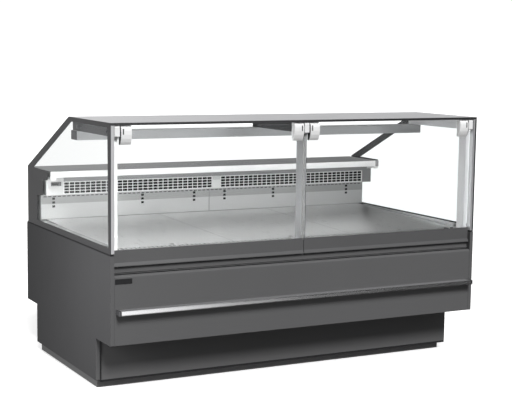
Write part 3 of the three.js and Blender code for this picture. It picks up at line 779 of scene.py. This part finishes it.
def glazing_beads():
    """Bead along the foot of each glazed end, between the well and the pane."""
    tub_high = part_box("tub_floor")[1]
    # The right bead is a grey copy of the white left one: painted shade, for the darker right end.
    for side, finish, rise in (("left", "housing", 24 * MM), ("right", "end_grey", 22 * MM)):
        sign = SIDES[side]
        low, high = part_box(f"side_glass_{side}")
        pane = low[X] if sign > 0 else -high[X]
        inner = tub_high[X] + 0.5 * MM
        bottom = low[Z] + 1 * MM
        top = low[Z] + rise
        outline = [
            (inner, bottom),
            (inner, top - 9 * MM),
            (inner + 3 * MM, top - 5 * MM),
            (pane - 3 * MM, top - 1 * MM),
            (pane - 0.3 * MM, top),
            (pane - 0.3 * MM, bottom),
        ]
        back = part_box("back_wall_left")[0][Y] + 4 * MM
        piece = Piece(f"glazing_bead_{side}")
        piece.prism([(sign * x, z) for x, z in outline], Y, low[Y] + 32 * MM, back)
        piece.done(finish)


# ------------------------------------------------------------------ back wall, duct and worktop

# Columns of shelf-bracket holes across the back wall, in millimetres, and their rows down from its top.
SHELF_COLUMNS = (-918, -421, -113, 74, 383, 872)
SHELF_ROWS = 3
SHELF_PITCH = 20.5 * MM


def back_wall_fittings():
    """Black grommets in the shelf holes, whose black also paints in the shade inside the holes, and the
    dark jointing strip between the two wall plates.
    """
    low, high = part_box("back_wall_left")
    face = low[Y]
    flange_then_neck = ((7.5, 5.8, -0.6, -0.1), (4.6, 2.6, -0.1, 3.0))
    piece = Piece("shelf_hole_shade_grommets")
    for x in SHELF_COLUMNS:
        for row in range(SHELF_ROWS, 0, -1):
            z = high[Z] - SHELF_PITCH * row
            for half_width, half_height, near, far in flange_then_neck:
                piece.block(
                    ((x - half_width) * MM, face + near * MM, z - half_height * MM),
                    ((x + half_width) * MM, face + far * MM, z + half_height * MM),
                )
    piece.done("rubber")

    seam = high[X]
    outline = [
        (seam - 1.6 * MM, face - SKIN),
        (seam - 1.2 * MM, face - 0.9 * MM),
        (seam + 2.0 * MM, face - 0.9 * MM),
        (seam + 2.4 * MM, face - SKIN),
    ]
    piece = Piece("wall_joint")
    piece.prism(outline, Z, low[Z] + 1 * MM, high[Z] - 1 * MM)
    piece.done("end_grey")


def duct_and_worktop_ends():
    """Grey caps on the right-hand ends of the worktop nosing and of the duct front."""
    strip_low, strip_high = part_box("worktop_strip")
    slab_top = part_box("worktop")[1][Z]
    outer = strip_high[X]
    cap_length, cap_height = 22 * MM, 33 * MM
    piece = Piece("nosing_cap_right")
    piece.block(
        (outer - cap_length, strip_low[Y] - 1 * MM, slab_top - cap_height),
        (outer + 0.8 * MM, strip_low[Y] + 9 * MM, slab_top + 0.5 * MM),
    )
    piece.done("end_grey", edge=1.2 * MM)

    duct_low, duct_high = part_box("grille_housing")
    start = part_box("air_grille_right")[1][X] + 1.5 * MM
    face = duct_low[Y]
    piece = Piece("duct_end_right")
    piece.block(
        (start, face - 1.2 * MM, duct_low[Z] + 0.5 * MM),
        (duct_high[X] + 0.6 * MM, face - SKIN, duct_low[Z] + 79 * MM),
    )
    piece.done("end_grey", edge=0.5 * MM)


def lamp_ends():
    """Dark moulded caps that close the lamp trough."""
    low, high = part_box("lamp_housing")
    thickness = 2.3 * MM
    inset = 0.5 * MM
    for side, sign in SIDES.items():
        start, end = mirrored(sign, high[X] + SKIN, high[X] + SKIN + thickness)
        piece = Piece(f"lamp_end_{side}")
        piece.block(
            (start, low[Y] + inset, low[Z] + inset),
            (end, high[Y] - inset, high[Z] - inset),
        )
        piece.done("cap", edge=1.0 * MM)


def deck_catches():
    """Small dark catches for the deck on the slotted strip, near its right-hand end."""
    low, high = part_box("return_air_grille")
    base = high[Z] + CLEAR
    front, back = low[Y] + 24 * MM, low[Y] + 34 * MM
    piece = Piece("deck_catches")
    for from_end, width, height in ((118, 12, 7), (102, 8, 5), (80, 14, 8)):
        start = high[X] - from_end * MM
        piece.block((start, front, base), (start + width * MM, back, base + height * MM))
    piece.done("black", edge=1.2 * MM)


def badge():
    """Blank black plate at the left end of the front panel."""
    low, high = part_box("main_front_panel")
    length, height, proud = 83 * MM, 24 * MM, 2 * MM
    left, top = low[X] + 2.6 * MM, high[Z] - 15 * MM
    piece = Piece("badge_plate")
    piece.block((left, low[Y] - proud, top - height), (left + length, low[Y] - CLEAR, top))
    piece.done("badge", edge=0.7 * MM)


def thermometer():
    """Grey bezel let into the duct's small window, with a dark screen and two keys."""
    duct_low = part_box("grille_housing")[0]
    face = duct_low[Y]
    width, height = 55.2 * MM, 20.2 * MM
    left, bottom = duct_low[X] + 23.4 * MM, duct_low[Z] + 47.4 * MM
    right, top = left + width, bottom + height
    screen_left, screen_right = left + 6 * MM, right - 14 * MM
    rim = 4.5 * MM
    piece = Piece("thermometer_bezel")
    piece.block((left, face + 0.5 * MM, bottom), (right, face + 3.5 * MM, top))
    for low_x, high_x, low_z, high_z in (
        (left, screen_left, bottom, top),
        (screen_right, right, bottom, top),
        (screen_left, screen_right, bottom, bottom + rim),
        (screen_left, screen_right, top - rim, top),
    ):
        piece.block((low_x, face - 2 * MM, low_z), (high_x, face + 0.5 * MM, high_z))
    piece.done("display")
    piece = Piece("thermometer_screen")
    piece.block(
        (screen_left + CLEAR, face - 0.7 * MM, bottom + rim + CLEAR),
        (screen_right - CLEAR, face + 0.4 * MM, top - rim - CLEAR),
    )
    piece.done("screen")
    key_radius, key_depth = 2.4 * MM, 0.8 * MM
    piece = Piece("thermometer_keys")
    for drop in (6 * MM, 14 * MM):
        piece.disc((right - 7 * MM, face - 2.9 * MM, top - drop), key_radius, Y, key_depth)
    piece.done("end_grey", edge=0.3 * MM)


def grille_joint():
    """White pressed plate over the joint between the two lattices."""
    gap = 1.4 * MM
    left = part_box("air_grille_left")[1][X] + gap
    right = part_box("air_grille_right")[0][X] - gap
    duct_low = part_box("grille_housing")[0]
    back = duct_low[Y] - 0.3 * MM
    front = duct_low[Y] - 2.6 * MM
    slope = 2 * MM
    outline = [(left, back), (left + slope, front), (right - slope, front), (right, back)]
    piece = Piece("grille_joint_plate")
    piece.prism(outline, Z, duct_low[Z] + 3 * MM, duct_low[Z] + 48 * MM)
    piece.done("housing", edge=0.5 * MM)


def duct_top_shade_trim():
    """Grey moulded trim along the top of the duct's face, from the lattices up to the worktop: painted
    shade, for the shadow line under the worktop nosing.
    """
    duct_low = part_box("grille_housing")[0]
    lattice_low, lattice_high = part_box("air_grille_left")
    slab_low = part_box("worktop")[0]
    face = duct_low[Y]
    bottom, top = lattice_high[Z] + 1 * MM, slab_low[Z] - 3 * MM
    thin, thick = 1.6 * MM, 3.0 * MM
    outline = [
        (face - CLEAR, bottom),
        (face - thin, bottom + 1.5 * MM),
        (face - thin, top - 6 * MM),
        (face - thick, top - 4 * MM),
        (face - thick, top),
        (face - CLEAR, top),
    ]
    piece = Piece("duct_top_shade_trim")
    piece.prism(outline, X, lattice_low[X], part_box("tub_cheek_right")[0][X])
    piece.done("end_grey")


def lamp_cover():
    """Opal cover under the lamp trough, gently bowed downwards."""
    low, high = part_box("lamp_housing")
    inset = 3.5 * MM
    front, back = low[Y] + inset, high[Y] - inset
    top, rim, lowest = low[Z] + 6 * MM, low[Z] + 4 * MM, low[Z] + 1 * MM
    steps = 8
    lower = []
    for step in range(steps + 1):
        across = step / steps
        bow = math.sin(math.pi * across)
        lower.append((front + (back - front) * across, rim - (rim - lowest) * bow))
    outline = lower + [(back, top), (front, top)]
    piece = Piece("lamp_cover")
    piece.prism(outline, X, low[X] + 6 * MM, high[X] - 6 * MM)
    piece.done("diffuser")


def end_panel_edgings():
    """Thin painted strips over the front edges of the end panels, in the finish of the front panel."""
    kick_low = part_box("plinth_front")[0]
    body_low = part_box("main_front_panel")[0]
    inset = 0.6 * MM
    thickness = 0.5 * MM
    for side in SIDES:
        low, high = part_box(f"end_panel_{side}")
        low_x, high_x = low[X] + inset, high[X] - inset
        piece = Piece(f"end_panel_edging_{side}")
        runs = [(low[Y], max(low[Z], body_low[Z]) + 1 * MM, high[Z] - 1 * MM)]
        if low[Z] < body_low[Z] - 1 * MM:
            runs.append((kick_low[Y], low[Z] + 1 * MM, body_low[Z] - 2 * MM))
        for front, bottom, top in runs:
            piece.block((low_x, front - SKIN - thickness, bottom), (high_x, front - SKIN, top))
        piece.done("panel")


def end_gaskets():
    """Black gasket in the joint between each end panel and the glazed end above it."""
    for side, sign in SIDES.items():
        panel_low, panel_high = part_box(f"end_panel_{side}")
        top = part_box(f"side_frame_{side}")[0][Z]
        outer = panel_high[X] if sign > 0 else -panel_low[X]
        low_x, high_x = mirrored(sign, outer - 18 * MM, outer - 1.2 * MM)
        piece = Piece(f"end_gasket_{side}")
        piece.block(
            (low_x, panel_low[Y] + 1.5 * MM, panel_high[Z] + CLEAR),
            (high_x, panel_high[Y] - 3 * MM, top - CLEAR),
        )
        piece.done("rubber")


def post_seals():
    """A white seal on the front of the left post and a grey copy of it on the middle post, which is
    painted shade, and a black bead where the doors meet, which paints in the dark edge there.
    """
    gap = 0.15 * MM
    thickness = 0.5 * MM
    left_part = 9.5 * MM
    for side, finish, right_part in (("left", "housing", 9.5 * MM), ("middle", "post_seal", 6.0 * MM)):
        low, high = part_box(f"post_{side}")
        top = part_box(f"hinge_cover_{side}")[0][Z] - 1 * MM
        middle = (low[X] + high[X]) / 2
        piece = Piece(f"post_seal_{side}")
        piece.block(
            (middle - left_part, low[Y] - gap - thickness, low[Z] + 2 * MM),
            (middle + right_part, low[Y] - gap, top),
        )
        piece.done(finish)
    # Black bead on the right edge of the middle post: painted shade.
    low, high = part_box("post_middle")
    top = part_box("hinge_cover_middle")[0][Z] - 1 * MM
    piece = Piece("door_meeting_shade_bead")
    piece.block(
        (high[X] + CLEAR, low[Y] + 0.3 * MM, low[Z] + 2 * MM),
        (high[X] + 2.6 * MM, low[Y] + 5 * MM, top),
    )
    piece.done("rubber")


def panel_screws():
    """Screws, each a flat head on a washer, along the rear panel and along the top of the rear kick
    plate.
    """
    panel_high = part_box("rear_panel")[1]
    lower_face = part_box("end_panel_right")[1][Y] - 1 * MM
    kick_low, kick_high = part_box("plinth_rear")
    spacing = 320 * MM
    reach = 3
    washer, head = (4.4 * MM, 0.4 * MM), (3.0 * MM, 0.3 * MM)
    rows = (
        (lower_face, kick_high[Z] + 14 * MM),
        (lower_face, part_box("end_panel_right")[1][Z] - 14 * MM),
        (panel_high[Y], panel_high[Z] - 14 * MM),
        (kick_high[Y], kick_high[Z] - 12 * MM),
    )
    piece = Piece("panel_screws")
    for face, height in rows:
        for step in range(-reach, reach + 1):
            x = spacing * step
            washer_face = face + SKIN
            head_face = washer_face + washer[1]
            piece.disc((x, washer_face, height), washer[0], Y, washer[1], sides=16)
            piece.disc((x, head_face, height), head[0], Y, head[1], sides=12)
    piece.done("zinc")


def deck_joints():
    """Fine dark joint between neighbouring deck plates, sloping with them."""
    low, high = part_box("deck_plate_middle")
    plate = 3 * MM
    half_width = 1 * MM
    front, back = low[Y] + 1 * MM, high[Y] - 1 * MM
    front_top, back_top = low[Z] + plate, high[Z]
    outline = [
        (front, front_top + SKIN),
        (back, back_top + SKIN),
        (back, back_top + 0.3 * MM),
        (front, front_top + 0.3 * MM),
    ]
    piece = Piece("deck_joints")
    for seam in (low[X], high[X]):
        piece.prism(outline, X, seam - half_width, seam + half_width)
    piece.done("end_grey")


make_camera()
make_stage()
finish_cad_nodes()

corner_profiles()
canopy_edges()
shade_on_hinge_ends()
hinge_slots()
front_gap_seals_and_shade()
kick_plate_shadow_lip_and_seal()
dark_filters_for_shade()
wall_slot_bridges()
wall_shadow_strip()
glazing_beads()
back_wall_fittings()
duct_and_worktop_ends()
lamp_ends()
deck_catches()
badge()
thermometer()
grille_joint()
duct_top_shade_trim()
lamp_cover()
end_panel_edgings()
end_gaskets()
post_seals()
panel_screws()
deck_joints()
